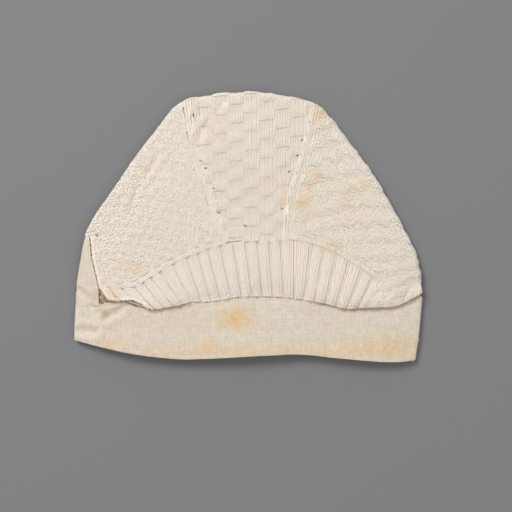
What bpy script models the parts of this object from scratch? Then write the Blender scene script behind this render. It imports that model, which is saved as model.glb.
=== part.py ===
# Knitted cap with a linen band, lying flat and empty.
# The knitted crown is folded all round its edge, and the linen band runs inside its mouth.
# +X is across the cap, +Y the closed top, -Y the mouth, +Z up from the surface it lies on.
import math

import bmesh
import bpy
import numpy as np
from mathutils import Vector
from mathutils.bvhtree import BVHTree

# Driving sizes, in metres
CAP_WIDTH = 0.262  # between the folded sides, at the seam
CROWN_DEPTH = 0.157  # knitting, from the seam's lowest level to the top fold
RIB_DEPTH = 0.044  # fan of ribs, where it is deepest
BAND_DEPTH = 0.045  # linen band, where it is deepest
KNIT_WALL = 0.002
BAND_WALL = 0.0012
CROWN_FOLD = 0.008  # height of the crown's folded edge
CROWN_LOFT = 0.0070  # rise from the folded edge to the middle of the crown
BAND_FOLD = 0.0062  # height of the band's folded sides
BAND_LOFT = 0.0046  # rise from the folded sides to the middle of the band
SEAM_MARGIN = 0.006  # strip of the band that lies inside the crown
CLEARANCE = 0.0004  # between the crown and the band

# Relief of the knitting
RIB_RELIEF = 0.0009
RIDGE_HEIGHT = 0.0006
POUCH_HEIGHT = 0.0022  # how far the crown swells over the seam
POUCH_REACH = 0.007  # from the seam to the top of that swelling
LOFT_REACH = 0.028  # how far in from the folded edge the crown still rises
SEAM_REACH = 0.009  # how far in from the seam the crown rises off the band
CREASE_DEPTH = 0.0016

# Counts and shares
RIBS = 30
COLUMNS_PER_RIB = 3
FIRST_RIB, LAST_RIB = 3, 29  # ribs between these stand in relief
FOLD_STEPS = 4  # facets round a folded edge
FOLD_START = math.radians(20)  # where the upper layer takes over from the fold
SIDE_RIBS = 1.5  # ribs over which the sides' inset fades out
RIB_TOP = 0.28  # share of each column that is ribbed
LEFT_RIDGE, RIGHT_RIDGE = 40, 56  # columns of the ridges beside the middle panel
TUCK_COLUMN = 5  # the last column of the flap left of the tuck
FLAP_RISE = 0.0004
BACK_STEPS = 28  # facets along each back edge
BACK_SAG = 0.06  # of the band's depth, how far the back seam dips
BAND_STEPS = 50  # facets across the front of the band
HEM_SETBACK = 0.0012  # the back hem ends this far short of the front one
HEM_WAVE = 0.0009
WAVES = 2.5

# Rows of the crown, as shares of the way from the seam to the fold
CROWN_ROWS = (0, 0.03, 0.08, 0.15, 0.22, 0.265, RIB_TOP, 0.295, 0.36, 0.45, 0.55, 0.66, 0.77, 0.88, 1)

# Columns of the crown: where each starts on the seam, where its rib ends, where it meets the fold.
# x is a share of half the width. seam_y is a share of the band's depth, rise of the ribs'
# depth above the seam, fold_y of the crown's depth above the band. Pouch is a share of its height.
SPOKE_COLUMNS = ("rib", "seam_x", "seam_y", "lean", "rise", "fold_x", "fold_y", "pouch")
SPOKES = (
    (0.0, -0.985, 1.25, 0.009, 0.19, -0.939, 0.296, 0.0),
    (1.0, -0.893, 1.10, -0.023, 0.22, -0.927, 0.325, 0.0),
    (1.67, -0.807, 1.02, -0.057, 0.26, -0.922, 0.342, 0.0),
    (2.0, -0.802, 1.03, -0.057, 0.25, -0.917, 0.346, 0.2),
    (3.0, -0.721, 1.02, -0.074, 0.25, -0.893, 0.387, 0.8),
    (4.0, -0.607, 0.93, -0.109, 0.32, -0.856, 0.435, 1.0),
    (5.0, -0.527, 0.88, -0.115, 0.37, -0.790, 0.511, 0.9),
    (6.5, -0.447, 0.93, -0.126, 0.45, -0.727, 0.588, 0.7),
    (8.0, -0.372, 0.96, -0.132, 0.55, -0.658, 0.674, 0.5),
    (9.0, -0.321, 1.02, -0.103, 0.62, -0.590, 0.750, 0.3),
    (10.0, -0.263, 1.00, -0.080, 0.77, -0.504, 0.841, 0.1),
    (12.0, -0.155, 1.03, -0.074, 0.87, -0.435, 0.917, 0.0),
    (13.5, -0.063, 1.09, -0.057, 0.89, -0.349, 0.965, 0.0),
    (16.0, 0.080, 1.10, -0.029, 0.94, 0.011, 1.001, 0.0),
    (18.5, 0.235, 1.08, -0.017, 0.99, 0.378, 0.946, 0.0),
    (20.0, 0.315, 1.04, 0.046, 0.91, 0.464, 0.884, 0.1),
    (22.0, 0.435, 0.98, 0.063, 0.85, 0.573, 0.769, 0.8),
    (24.0, 0.555, 0.88, 0.092, 0.68, 0.727, 0.592, 1.0),
    (26.0, 0.676, 0.92, 0.086, 0.38, 0.836, 0.430, 1.1),
    (28.0, 0.824, 0.92, 0.046, 0.36, 0.905, 0.322, 1.1),
    (29.0, 0.893, 0.98, 0.026, 0.31, 0.930, 0.282, 0.7),
    (30.0, 1.002, 1.17, -0.009, 0.17, 0.968, 0.215, 0.0),
)

# Soft creases across the crown. Ends are shares of half the width, and of the crown's depth above
# the band. Depth and width are shares of the crease depth and of the fold's height.
CREASE_COLUMNS = ("x0", "y0", "x1", "y1", "depth", "width")
CROWN_CREASES = (
    (-0.137, 0.941, -0.223, 0.865, 0.8, 0.6),
    (-0.235, 0.850, -0.292, 0.740, 0.7, 0.6),
    (-0.510, 0.702, -0.578, 0.611, 0.7, 0.7),
    (-0.624, 0.578, -0.670, 0.420, 0.8, 0.8),
    (0.160, 0.200, 0.190, 0.320, 0.4, 0.6),
    (0.560, 0.420, 0.700, 0.330, 0.5, 0.9),
)

# Creases of the band. Ends are shares of half the width and of the band's depth.
BAND_CREASES = (
    (-0.899, 0.92, -0.807, 0.75, 0.9, 0.5),
    (-0.807, 0.75, -0.716, 0.88, 0.9, 0.5),
    (-0.968, 1.10, -0.899, 0.98, 0.7, 0.4),
    (-0.960, 0.62, -0.780, 0.50, 0.4, 0.5),
    (-0.300, 0.60, -0.100, 0.52, 0.3, 0.7),
    (0.480, 0.55, 0.620, 0.35, 0.3, 0.7),
    (0.900, 0.80, 0.950, 0.30, 0.4, 0.5),
)

# Hem of the band at the mouth, as shares of half the width and of the band's depth
HEM_COLUMNS = ("x", "y")
HEM = (
    (-0.996, 0.37),
    (-0.905, 0.30),
    (-0.790, 0.22),
    (-0.676, 0.15),
    (-0.504, 0.08),
    (-0.361, 0.05),
    (-0.160, 0.07),
    (0.011, 0.10),
    (0.155, 0.12),
    (0.240, 0.13),
    (0.355, 0.12),
    (0.469, 0.08),
    (0.584, 0.05),
    (0.698, 0.02),
    (0.842, 0.00),
    (0.962, 0.03),
)

# Rows of the band from the hem up. Inside is 0 where the band is free and 1 within the crown.
BAND_ROW_COLUMNS = ("up", "left", "right", "inside")
BAND_ROWS = (
    (0.00, -0.996, 0.962, 0.0),
    (0.10, -0.996, 0.966, 0.0),
    (0.28, -0.995, 0.978, 0.0),
    (0.46, -0.993, 0.985, 0.0),
    (0.64, -0.990, 0.991, 0.0),
    (0.86, -0.988, 0.998, 0.0),
    (0.93, -0.986, 1.000, 0.5),
    (0.985, -0.984, 1.000, 1.0),
    (1.00, -0.984, 1.000, 1.0),
)

HALF = CAP_WIDTH / 2


def read(table, names):
    """Each named column of a table as an array."""
    return dict(zip(names, np.array(table, float).T))


def smooth(knots, values, at):
    """A smooth line through the table's values that never overshoots them."""
    rise = np.diff(values) / np.diff(knots)
    product = rise[:-1] * rise[1:]
    total = np.where(product > 0, rise[:-1] + rise[1:], 1)
    slope = np.concatenate([rise[:1], np.where(product > 0, 2 * product / total, 0), rise[-1:]])
    i = np.clip(np.searchsorted(knots, at, side="right") - 1, 0, len(knots) - 2)
    step = knots[i + 1] - knots[i]
    t = np.clip((at - knots[i]) / step, 0, 1)
    value = (1 + 2 * t) * (1 - t) ** 2 * values[i] + t**2 * (3 - 2 * t) * values[i + 1]
    return value + step * (t * (1 - t) ** 2 * slope[i] - t**2 * (1 - t) * slope[i + 1])


def outward(line):
    """Unit normals on the outer side of a line that runs clockwise round the cap."""
    ahead = np.gradient(line, axis=0)
    normal = np.stack([-ahead[:, 1], ahead[:, 0]], 1)
    return normal / np.linalg.norm(normal, axis=1, keepdims=True)


def distance(points, line):
    """Shortest distance from each plan point to a plan line."""
    start, step = line[:-1], np.diff(line, axis=0)
    reach = points[..., None, :] - start
    along = np.clip((reach * step).sum(-1) / (step**2).sum(-1), 0, 1)
    return np.linalg.norm(reach - along[..., None] * step, axis=-1).min(-1)


def three_point(first, middle, last, at, share):
    """A curve through three points, the middle one at the given share of the way."""
    a = (at - share) * (at - 1) / share
    b = at * (1 - at) / (share * (1 - share))
    c = at * (at - share) / (1 - share)
    return first[:, None] * a[:, None] + middle[:, None] * b[:, None] + last[:, None] * c[:, None]


def round_edge(grid):
    """The three folded sides of a [column, row] grid, from the left end of the seam to the right."""
    return np.concatenate([grid[0, :-1], grid[:, -1], grid[-1, -2::-1]])


def crease(points, table, y_base, y_scale):
    """How deep the creases are at each plan point."""
    depth = np.zeros(points.shape[:-1])
    for x0, y0, x1, y1, share, width in table:
        line = np.array([[x0 * HALF, y_base + y0 * y_scale], [x1 * HALF, y_base + y1 * y_scale]])
        depth += CREASE_DEPTH * share * np.exp(-((distance(points, line) / (width * CROWN_FOLD)) ** 2))
    return depth


def crown_columns():
    """Seam, rib top and fold of each column in plan, and its share of the pouch."""
    t = read(SPOKES, SPOKE_COLUMNS)
    rib = np.linspace(0, RIBS, RIBS * COLUMNS_PER_RIB + 1)
    c = {name: smooth(t["rib"], t[name], rib) for name in SPOKE_COLUMNS}
    seam = np.stack([c["seam_x"] * HALF, c["seam_y"] * BAND_DEPTH], 1)
    top = seam + np.stack([c["lean"] * HALF, c["rise"] * RIB_DEPTH], 1)
    fold = np.stack([c["fold_x"] * HALF, BAND_DEPTH + c["fold_y"] * CROWN_DEPTH], 1)
    return rib, seam, top, fold, c["pouch"]


def crown_plan(rib, seam, top, fold, rows):
    """The upper layer in plan, [column, row], moved in from the outline by the fold's radius."""
    radius = CROWN_FOLD / 2
    outline = np.concatenate([[seam[0], top[0]], fold, [top[-1], seam[-1]]])
    normal = outward(outline)
    fade = np.clip(1 - rib / SIDE_RIBS, 0, 1)[:, None]
    seam = seam - radius * (fade * normal[0] + fade[::-1] * normal[-1])
    top = top - radius * (fade * normal[1] + fade[::-1] * normal[-2])
    fold = fold - radius * normal[2:-2]
    return three_point(seam, top, fold, rows, RIB_TOP)


def crown_heights(plan, pouch, rows):
    """The upper layer's outer height with no relief, and the relief of ribs and ridges."""
    columns = np.arange(len(plan))
    edge = distance(plan, round_edge(plan))
    fold_top = CROWN_FOLD / 2 * (1 + math.cos(FOLD_START))
    rise = 1 - np.exp(-edge / LOFT_REACH)
    along = np.linalg.norm(plan - plan[:, :1], axis=-1)
    seam_top = fold_top + BAND_LOFT * rise
    height = seam_top + (CROWN_LOFT - BAND_LOFT) * rise * (1 - np.exp(-along / SEAM_REACH))
    swell = along / POUCH_REACH
    height += POUCH_HEIGHT * (pouch * np.clip(edge[:, 1] / LOFT_REACH, 0, 1))[:, None] * swell * np.exp(1 - swell)
    dent = crease(plan, CROWN_CREASES, BAND_DEPTH, CROWN_DEPTH)
    height -= dent * np.clip(edge / CROWN_FOLD, 0, 1) * np.clip(along / POUCH_REACH, 0, 1)
    flap = columns <= TUCK_COLUMN
    height[flap] = np.minimum(height[flap], fold_top + FLAP_RISE)

    relief = np.zeros(height.shape)
    groove = (columns % COLUMNS_PER_RIB == 0) & (columns >= FIRST_RIB * COLUMNS_PER_RIB)
    groove &= columns <= LAST_RIB * COLUMNS_PER_RIB
    relief[np.ix_(groove, rows < RIB_TOP)] -= RIB_RELIEF
    ribbed = (columns > FIRST_RIB * COLUMNS_PER_RIB) & (columns < LAST_RIB * COLUMNS_PER_RIB)
    relief[np.ix_(ribbed, rows == RIB_TOP)] += RIDGE_HEIGHT
    beside = (columns == LEFT_RIDGE) | (columns == RIGHT_RIDGE)
    relief[np.ix_(beside, (rows > RIB_TOP) & (rows < 1))] += RIDGE_HEIGHT
    return height, relief


def inner_heights(height):
    """The upper layer's inner height, with the step at the tuck moved one column in."""
    inner = height - KNIT_WALL
    inner[TUCK_COLUMN + 1] = inner[TUCK_COLUMN]
    return inner


def extruded(bm, chain, points, closed=False):
    """A chain of vertices extruded by one row of faces, with the new vertices moved to the points."""
    ring = chain + chain[:1] if closed else chain
    edges = [bm.edges.get((a, b)) for a, b in zip(ring, ring[1:])]
    made = bmesh.ops.extrude_edge_only(bm, edges=edges)["geom"]
    old = set(chain)
    above = {}
    for v in made:
        if isinstance(v, bmesh.types.BMVert):
            above.update((e.other_vert(v), v) for e in v.link_edges if e.other_vert(v) in old)
    moved = [above[v] for v in chain]
    for v, point in zip(moved, points):
        v.co = Vector(point)
    return moved


def crown_layer(bm, plan, height, radius, floor, back):
    """One surface of the crown: upper grid, fold and flat underside. Returns the edge at the mouth."""
    columns, rows = height.shape
    middle, normal = round_edge(plan), outward(round_edge(plan))
    center = CROWN_FOLD / 2
    grid = np.concatenate([plan, height[..., None]], axis=-1)
    arc = radius * math.sin(FOLD_START)
    shift = dict(zip(range(len(middle)), middle + normal * arc))
    made = bmesh.ops.create_grid(bm, x_segments=columns - 1, y_segments=rows - 1, size=1)["verts"]
    upper = np.array(made, dtype=object).reshape(rows, columns).T
    for i in range(columns):
        for j in range(rows):
            upper[i, j].co = Vector(grid[i, j])
    chain = list(round_edge(upper))
    for k, v in enumerate(chain):
        v.co = Vector((*shift[k], center + radius * math.cos(FOLD_START)))
    left, right = [chain[0]], [chain[-1]]
    for step in range(1, FOLD_STEPS + 1):
        angle = FOLD_START + (math.pi - FOLD_START) * step / FOLD_STEPS
        level = center + radius * math.cos(angle) if step < FOLD_STEPS else floor
        points = [(*p, level) for p in middle + normal * radius * math.sin(angle)]
        chain = extruded(bm, chain, points)
        left.append(chain[0])
        right.append(chain[-1])
    behind = [bm.verts.new((x, y, floor)) for x, y in back[1:-1]]
    run = [chain[-1], *reversed(behind), chain[0]]
    bm.faces.new(chain + run[1:-1])
    return list(upper[:, 0]) + right[1:] + run[1:-1] + left[:0:-1]


def ring_edges(bm, ring):
    return [bm.edges.get((a, b)) for a, b in zip(ring, ring[1:] + ring[:1])]


def back_line(start, end):
    """The back layer's edge at the seam, in plan, from the left fold to the right."""
    t = np.linspace(0, 1, BACK_STEPS + 1)[:, None]
    line = start + (end - start) * t
    line[:, 1] -= (BACK_SAG * BAND_DEPTH * 4 * t * (1 - t))[:, 0]
    return line


def finish(bm, name, color, roughness):
    """The mesh as a named object with its material."""
    bmesh.ops.triangulate(bm, faces=bm.faces[:])
    bmesh.ops.recalc_face_normals(bm, faces=bm.faces[:])
    mesh = bpy.data.meshes.new(name)
    bm.to_mesh(mesh)
    bm.free()
    mesh.shade_smooth()
    mesh.set_sharp_from_angle(angle=math.radians(50))
    piece = bpy.data.objects.new(name, mesh)
    bpy.context.scene.collection.objects.link(piece)
    material = bpy.data.materials.new(name)
    material.use_nodes = True
    shader = material.node_tree.nodes["Principled BSDF"]
    shader.inputs["Base Color"].default_value = (*color, 1)
    shader.inputs["Roughness"].default_value = roughness
    shader.inputs["Metallic"].default_value = 0
    mesh.materials.append(material)
    return piece


def make_crown():
    """The knitted crown, its plan, its back edge, and its inner surface for the band."""
    rows = np.array(CROWN_ROWS, float)
    rib, seam, top, fold, pouch = crown_columns()
    plan = crown_plan(rib, seam, top, fold, rows)
    height, relief = crown_heights(plan, pouch, rows)
    back = back_line(plan[0, 0], plan[-1, 0])
    bm = bmesh.new()
    outer = crown_layer(bm, plan, height + relief, CROWN_FOLD / 2, 0, back)
    before = set(bm.faces)
    inner = crown_layer(bm, plan, inner_heights(height), CROWN_FOLD / 2 - KNIT_WALL, KNIT_WALL, back)
    bm.verts.index_update()
    inside = [tuple(v.index for v in f.verts) for f in bm.faces if f not in before and len(f.verts) == 4]
    room = BVHTree.FromPolygons([v.co.copy() for v in bm.verts], inside)
    bmesh.ops.bridge_loops(bm, edges=ring_edges(bm, outer) + ring_edges(bm, inner))
    crown = finish(bm, "knitted_crown", (0.72, 0.64, 0.54), 0.95)
    return crown, plan, back, room


def room_above(room, x, y, reach):
    """The lowest point of the crown's inside over a small patch, or infinity where there is none."""
    found = math.inf
    for dx in (-reach, -reach / 2, 0, reach / 2, reach):
        for dy in (-reach, 0, reach):
            hit = room.ray_cast(Vector((x + dx, y + dy, CROWN_FOLD / 2)), Vector((0, 0, 1)))[0]
            found = min(found, hit.z if hit else math.inf)
    return found


def make_band(plan, back, room):
    """The linen band: a flattened tube, free below the seam and tucked in above it."""
    hem, seam = read(HEM, HEM_COLUMNS), plan[:, 0]
    share = np.linspace(0, 1, BAND_STEPS + 1)
    behind = np.linspace(1, 0, BACK_STEPS + 1)
    tucked = (CROWN_FOLD / 2 - KNIT_WALL) * math.cos(FOLD_START) - CLEARANCE
    outer, inner = [], []
    for row, (up, left, right, inside) in enumerate(BAND_ROWS):
        radius = BAND_FOLD / 2 * (1 - inside) + tucked * inside
        center = BAND_FOLD / 2 * (1 - inside) + CROWN_FOLD / 2 * inside
        low = center - radius
        left_x = left * HALF + radius
        right_x = right * HALF - radius
        margin = SEAM_MARGIN if row == len(BAND_ROWS) - 1 else 0
        if inside == 1:
            left_x = np.interp(seam[0, 1] + margin, plan[0, :, 1], plan[0, :, 0]) + CLEARANCE
            right_x = np.interp(seam[-1, 1] + margin, plan[-1, :, 1], plan[-1, :, 0]) - CLEARANCE
        front_x = left_x + (right_x - left_x) * share
        hem_y = smooth(hem["x"], hem["y"], front_x / HALF) * BAND_DEPTH
        seam_y = np.interp(front_x, seam[:, 0], seam[:, 1])
        front_y = hem_y + (seam_y - hem_y) * up + margin
        edge = np.minimum(front_x - left_x, right_x - front_x)
        rise = 1 - np.exp(-edge / LOFT_REACH)
        wave = HEM_WAVE * np.sin(2 * math.pi * WAVES * share) * (1 - up) * np.clip(edge / LOFT_REACH, 0, 1)
        front_z = center + radius + BAND_LOFT * rise + wave
        line = np.stack([front_x, front_y], 1)
        fade = np.clip(edge / BAND_FOLD, 0, 1) * (1 - inside)
        front_z = front_z - crease(line, BAND_CREASES, 0, BAND_DEPTH) * fade
        if inside:
            step = (right_x - left_x) / BAND_STEPS
            limit = [room_above(room, x, y, step) for x, y in line[1:-1]]
            front_z[1:-1] = np.minimum(front_z[1:-1], np.array(limit) - CLEARANCE)
        front_z[[0, -1]] = center + radius

        back_x = left_x + (right_x - left_x) * behind
        hem_back = smooth(hem["x"], hem["y"], back_x / HALF) * BAND_DEPTH + HEM_SETBACK
        seam_back = np.interp(back_x, back[:, 0], back[:, 1])
        back_y = hem_back + (seam_back - hem_back) * up + margin

        for ring, wall in ((outer, 0), (inner, BAND_WALL)):
            r = radius - wall
            points = [(x, y, z - wall) for x, y, z in zip(front_x, front_y, front_z)]
            for k in range(1, FOLD_STEPS):
                angle = math.pi * k / FOLD_STEPS
                y = front_y[-1] + (back_y[0] - front_y[-1]) * k / FOLD_STEPS
                points.append((right_x + r * math.sin(angle), y, center + r * math.cos(angle)))
            points += [(x, y, low + wall) for x, y in zip(back_x, back_y)]
            for k in range(1, FOLD_STEPS):
                angle = math.pi * (1 - k / FOLD_STEPS)
                y = back_y[-1] + (front_y[0] - back_y[-1]) * k / FOLD_STEPS
                points.append((left_x - r * math.sin(angle), y, center + r * math.cos(angle)))
            ring.append(points)

    bm = bmesh.new()
    ends = []
    for rings in (outer, inner):
        chain = bmesh.ops.create_circle(bm, segments=len(rings[0]), radius=1)["verts"]
        for v, point in zip(chain, rings[0]):
            v.co = Vector(point)
        ends.append(chain)
        for points in rings[1:]:
            chain = extruded(bm, chain, points, closed=True)
        ends.append(chain)
    for a, b in ((0, 2), (1, 3)):
        bmesh.ops.bridge_loops(bm, edges=ring_edges(bm, ends[a]) + ring_edges(bm, ends[b]))
    return finish(bm, "linen_band", (0.68, 0.57, 0.45), 0.9)


def center_on_origin(pieces):
    """Move the meshes together until their box stands centred on the origin."""
    points = np.array([v.co[:] for piece in pieces for v in piece.data.vertices])
    low, high = points.min(0), points.max(0)
    shift = Vector((-(low[0] + high[0]) / 2, -(low[1] + high[1]) / 2, -low[2]))
    for piece in pieces:
        for v in piece.data.vertices:
            v.co += shift
    print("size", np.round((high - low) * 1000, 2), "shift", np.round(np.array(shift) * 1000, 2))


for old in list(bpy.data.objects):
    bpy.data.objects.remove(old)
knit, crown_lines, back_seam, hollow = make_crown()
band = make_band(crown_lines, back_seam, hollow)
center_on_origin([knit, band])
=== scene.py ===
# %% [markdown]
# # A knitted cap with a linen band
# A cotton cap lies flat: a basketweave crown with a wedge-shaped middle panel, a fan of ribs
# along its front edge, and a strip of linen sewn to that edge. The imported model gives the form;
# this script lays the stitches on it, one small loop of yarn at a time, and weaves the linen.

# %% The frame
import math
import bmesh
import bpy
import numpy as np
from mathutils import Matrix, Vector, noise
from mathutils.bvhtree import BVHTree


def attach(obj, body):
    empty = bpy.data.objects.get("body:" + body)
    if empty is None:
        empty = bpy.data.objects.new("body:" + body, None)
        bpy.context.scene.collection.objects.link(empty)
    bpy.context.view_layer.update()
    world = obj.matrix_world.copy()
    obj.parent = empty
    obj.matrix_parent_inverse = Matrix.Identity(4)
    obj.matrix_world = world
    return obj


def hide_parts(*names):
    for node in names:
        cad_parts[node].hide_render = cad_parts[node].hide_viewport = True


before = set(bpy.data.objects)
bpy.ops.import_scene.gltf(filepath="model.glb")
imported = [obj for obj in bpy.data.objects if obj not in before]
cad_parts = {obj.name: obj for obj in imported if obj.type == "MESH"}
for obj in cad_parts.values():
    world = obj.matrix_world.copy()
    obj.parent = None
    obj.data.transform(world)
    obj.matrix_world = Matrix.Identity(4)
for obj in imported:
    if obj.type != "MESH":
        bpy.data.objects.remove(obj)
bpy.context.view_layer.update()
MM = 0.001
rng = np.random.default_rng(7)

# %% [markdown]
# ## Landmarks
# The distances below were read off the photograph, in millimetres from the middle of the cap.
# Each spoke runs from the seam up to the purl ridge at the top of the ribs, and the ribs are
# counted from the left corner. Beyond the ridge the columns of stitches lean by so many degrees.

# %% Landmarks
STITCH_WIDTH, ROW_HEIGHT = 1.94, 1.42      # one stitch of the basketweave
FOLD_RADIUS = 4.0                          # half the thickness of the fold round the crown
SHOULDER = math.radians(20)                # slope of the cloth where the fold starts
WRAP = math.radians(118)                   # how far round the fold the stitches are laid

SPOKES = np.array([                        # rib, seam x and y, top x and y, lean beyond the top
    (0, -129.4, -44.8, -128.2, -36.6, -45), (1, -117.4, -51.6, -120.4, -41.8, -45),
    (2, -105.4, -54.6, -112.9, -43.7, -45), (3, -94.9, -55.3, -104.6, -44.4, -42),
    (4, -79.9, -59.4, -94.1, -45.6, -38), (5, -69.4, -61.7, -84.4, -45.0, -35),
    (6.5, -58.9, -59.4, -75.4, -39.6, -31), (8, -49.1, -57.9, -66.4, -33.6, -27),
    (9, -42.4, -54.9, -55.9, -27.6, -24), (10, -34.9, -56.1, -45.4, -22.3, -22),
    (12, -20.6, -54.6, -30.4, -16.3, -18), (13.5, -8.6, -51.9, -16.1, -12.6, -16),
    (16, 10.1, -51.6, 6.4, -10.3, 0), (18.5, 30.4, -52.3, 28.1, -8.8, 12.8),
    (20, 40.9, -54.2, 46.9, -12.1, 15), (22, 56.6, -56.8, 64.9, -19.3, 18),
    (24, 72.4, -61.3, 84.4, -31.3, 24), (26, 88.1, -59.8, 99.4, -42.3, 34),
    (28, 107.6, -59.8, 113.6, -44.1, 38), (29, 116.6, -56.8, 120.0, -43.3, 40),
    (30, 130.9, -48.6, 129.8, -41.1, 40)])
LEFT_RIDGE = [(-46.1, 95.4), (-44.6, 86.4), (-41.6, 65.4), (-37.1, 46.7), (-32.6, 35.4),
              (-27.7, 18.9), (-22.9, 8.4), (-16.9, -11.8)]
RIGHT_RIDGE = [(50.6, 95.4), (49.1, 86.4), (42.4, 57.9), (37.9, 41.4), (31.9, 24.2),
               (29.3, 5.4), (28.5, -9.6)]
EYELETS = [(-41.2, 82.7), (-37.9, 60.2), (-34.6, 48.7), (-31.5, 43.3), (-25.1, 27.7),
           (-21.5, 10.7), (-1.9, 0.6), (43.1, 85.7), (39.4, 64.3), (36.1, 53.0),
           (29.6, 40.7), (25.4, 13.7), (-112.9, -6.6)]
FLAP_EDGE = [(-120.4, -2.1), (-118.9, -6.6), (-117.5, -22.3), (-114.6, -34.3), (-111.9, -45.6),
             (-111.7, -56.8), (-111.0, -58.3)]
POCKET = [(-111.9, -43.3), (-108.4, -48.6), (-103.5, -54.2), (-94.9, -55.2), (-91.9, -54.8),
          (-87.4, -54.6), (-81.4, -56.4), (-76.9, -58.8), (-72.4, -62.0), (-76.9, -63.3), (-82.9, -62.2),
          (-88.9, -60.6), (-93.4, -58.5), (-97.9, -57.3), (-103.9, -57.6), (-111.9, -58.3)]
LIP = [(-112.0, -58.6), (-104.0, -57.6), (-97.5, -58.6), (-92.0, -60.9), (-85.0, -63.8), (-74.0, -64.9)]
CREASES = [(-18.4, 91.7, -29.6, 79.7), (-31.1, 77.4, -38.6, 60.2), (-67.1, 54.2, -76.1, 39.9),
           (-82.1, 34.7, -88.1, 9.9)]
BAND_CREASES = [(-118.1, -59.8, -106.1, -67.3), (-106.1, -67.3, -94.1, -61.3),
                (-127.1, -46.3, -118.1, -56.1), (-126.4, -77.1, -114.4, -78.6)]
STAINS_AND_SHADE = [                                 # x, y, half width, half height, strength
    (-8.6, -68.1, 11.0, 7.5, 1.0), (-27.4, -88.3, 7.5, 4.5, 0.5), (-103.9, -87.6, 10.5, 4.5, 0.5),
    (102.4, -89.0, 30.0, 9.0, 0.5), (0.0, -93.0, 110.0, 6.0, 0.35), (53.0, 84.0, 6.0, 7.0, 0.45),
    (52.1, 36.9, 5.2, 4.5, 0.65), (45.0, 26.0, 4.0, 9.0, 0.35), (38.6, 16.7, 4.5, 6.8, 0.5),
    (25.9, 20.4, 3.8, 6.0, 0.35), (77.6, 27.9, 6.8, 5.2, 0.35), (88.1, 31.7, 4.5, 4.5, 0.3),
    (72.4, 16.7, 6.8, 5.2, 0.25), (61.1, -15.6, 7.5, 5.2, 0.35), (-84.4, -30.6, 7.5, 5.2, 0.35),
    # The first entry below is painted shade in the V crease at the left of the band, not a stain.
    (-107.6, -62.1, 6.8, 4.5, 0.3), (-100.1, -49.3, 6.0, 3.8, 0.4),
    (-60.0, -70.0, 30.0, 12.0, 0.12)]


def spread(points, at):
    """The x of a line of landmarks at each height y in at."""
    order = np.array(sorted(points, key=lambda p: p[1]))
    return np.interp(at, order[:, 1], order[:, 0])


def smoothed(values, width):
    """A row of numbers averaged with its neighbours, with both ends kept."""
    reach = np.arange(-3 * width, 3 * width + 1)
    weight = np.exp(-0.5 * (reach / width) ** 2)
    padded = np.pad(values, 3 * width, mode="reflect", reflect_type="odd")
    return np.convolve(padded, weight / weight.sum(), mode="valid")


rib_scale = np.linspace(0, 30, 601)
spoke_lines = np.stack([smoothed(np.interp(rib_scale, SPOKES[:, 0], SPOKES[:, k]), 8)
                        for k in range(1, 6)], axis=1)


def spoke(rib):
    """Seam point, top point and lean of the spokes at the given rib counts."""
    values = np.stack([np.interp(rib, rib_scale, spoke_lines[:, k]) for k in range(5)], axis=-1)
    lean = np.radians(values[..., 4])
    return values[..., 0:2], values[..., 2:4], np.stack([np.sin(lean), np.cos(lean)], axis=-1)


print("spokes:", len(SPOKES), "eyelets:", len(EYELETS))

# %% [markdown]
# ## The form under the stitches
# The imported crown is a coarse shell. Rays dropped on it from above give its height on a fine
# grid, and rays from the side give the line where the cloth folds under. The stitches are then
# placed by their position on the flattened cloth, and the fold is rolled round a half circle.

# %% Height grid and outline
GRID = 0.75                                # spacing of the height grid, millimetres
grid_x = np.arange(-146, 146.1, GRID)
grid_y = np.arange(-112, 116.1, GRID)
plan_x, plan_y = np.meshgrid(grid_x, grid_y)


def merged(node):
    """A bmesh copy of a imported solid, with its loose triangles joined."""
    bm = bmesh.new()
    bm.from_mesh(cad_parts[node].data)
    bmesh.ops.remove_doubles(bm, verts=bm.verts, dist=1e-6)
    bmesh.ops.recalc_face_normals(bm, faces=bm.faces)
    return bm


def heights(tree):
    """Height in millimetres of the topmost surface over each point of the grid."""
    found = np.full(plan_x.shape, np.nan)
    for j, y in enumerate(grid_y):
        for i, x in enumerate(grid_x):
            spot = tree.ray_cast(Vector((x * MM, y * MM, 0.1)), Vector((0, 0, -1)))[0]
            if spot is not None:
                found[j, i] = spot.z / MM
    return found


def blurred(grid, width):
    """The grid averaged over a width in millimetres, with its holes left out."""
    reach = np.arange(-int(3 * width / GRID) - 1, int(3 * width / GRID) + 2)
    weight = np.exp(-0.5 * (reach * GRID / width) ** 2)
    known = np.isfinite(grid).astype(float)
    total = np.where(known > 0, grid, 0.0)
    for axis in (0, 1):
        total = np.apply_along_axis(np.convolve, axis, total, weight, mode="same")
        known = np.apply_along_axis(np.convolve, axis, known, weight, mode="same")
    return np.where(known > 1e-6, total / np.maximum(known, 1e-6), np.nan)


def sample(grid, x, y):
    """Values of the grid between its points."""
    i = np.clip((x - grid_x[0]) / GRID, 0, len(grid_x) - 1.001)
    j = np.clip((y - grid_y[0]) / GRID, 0, len(grid_y) - 1.001)
    i0, j0 = i.astype(int), j.astype(int)
    i, j = i - i0, j - j0
    low = grid[j0, i0] * (1 - i) + grid[j0, i0 + 1] * i
    high = grid[j0 + 1, i0] * (1 - i) + grid[j0 + 1, i0 + 1] * i
    return low * (1 - j) + high * j


crown_tree = BVHTree.FromBMesh(merged("knitted_crown"))
band_tree = BVHTree.FromBMesh(merged("linen_band"))
crown_height = heights(crown_tree)
band_height = heights(band_tree)

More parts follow.
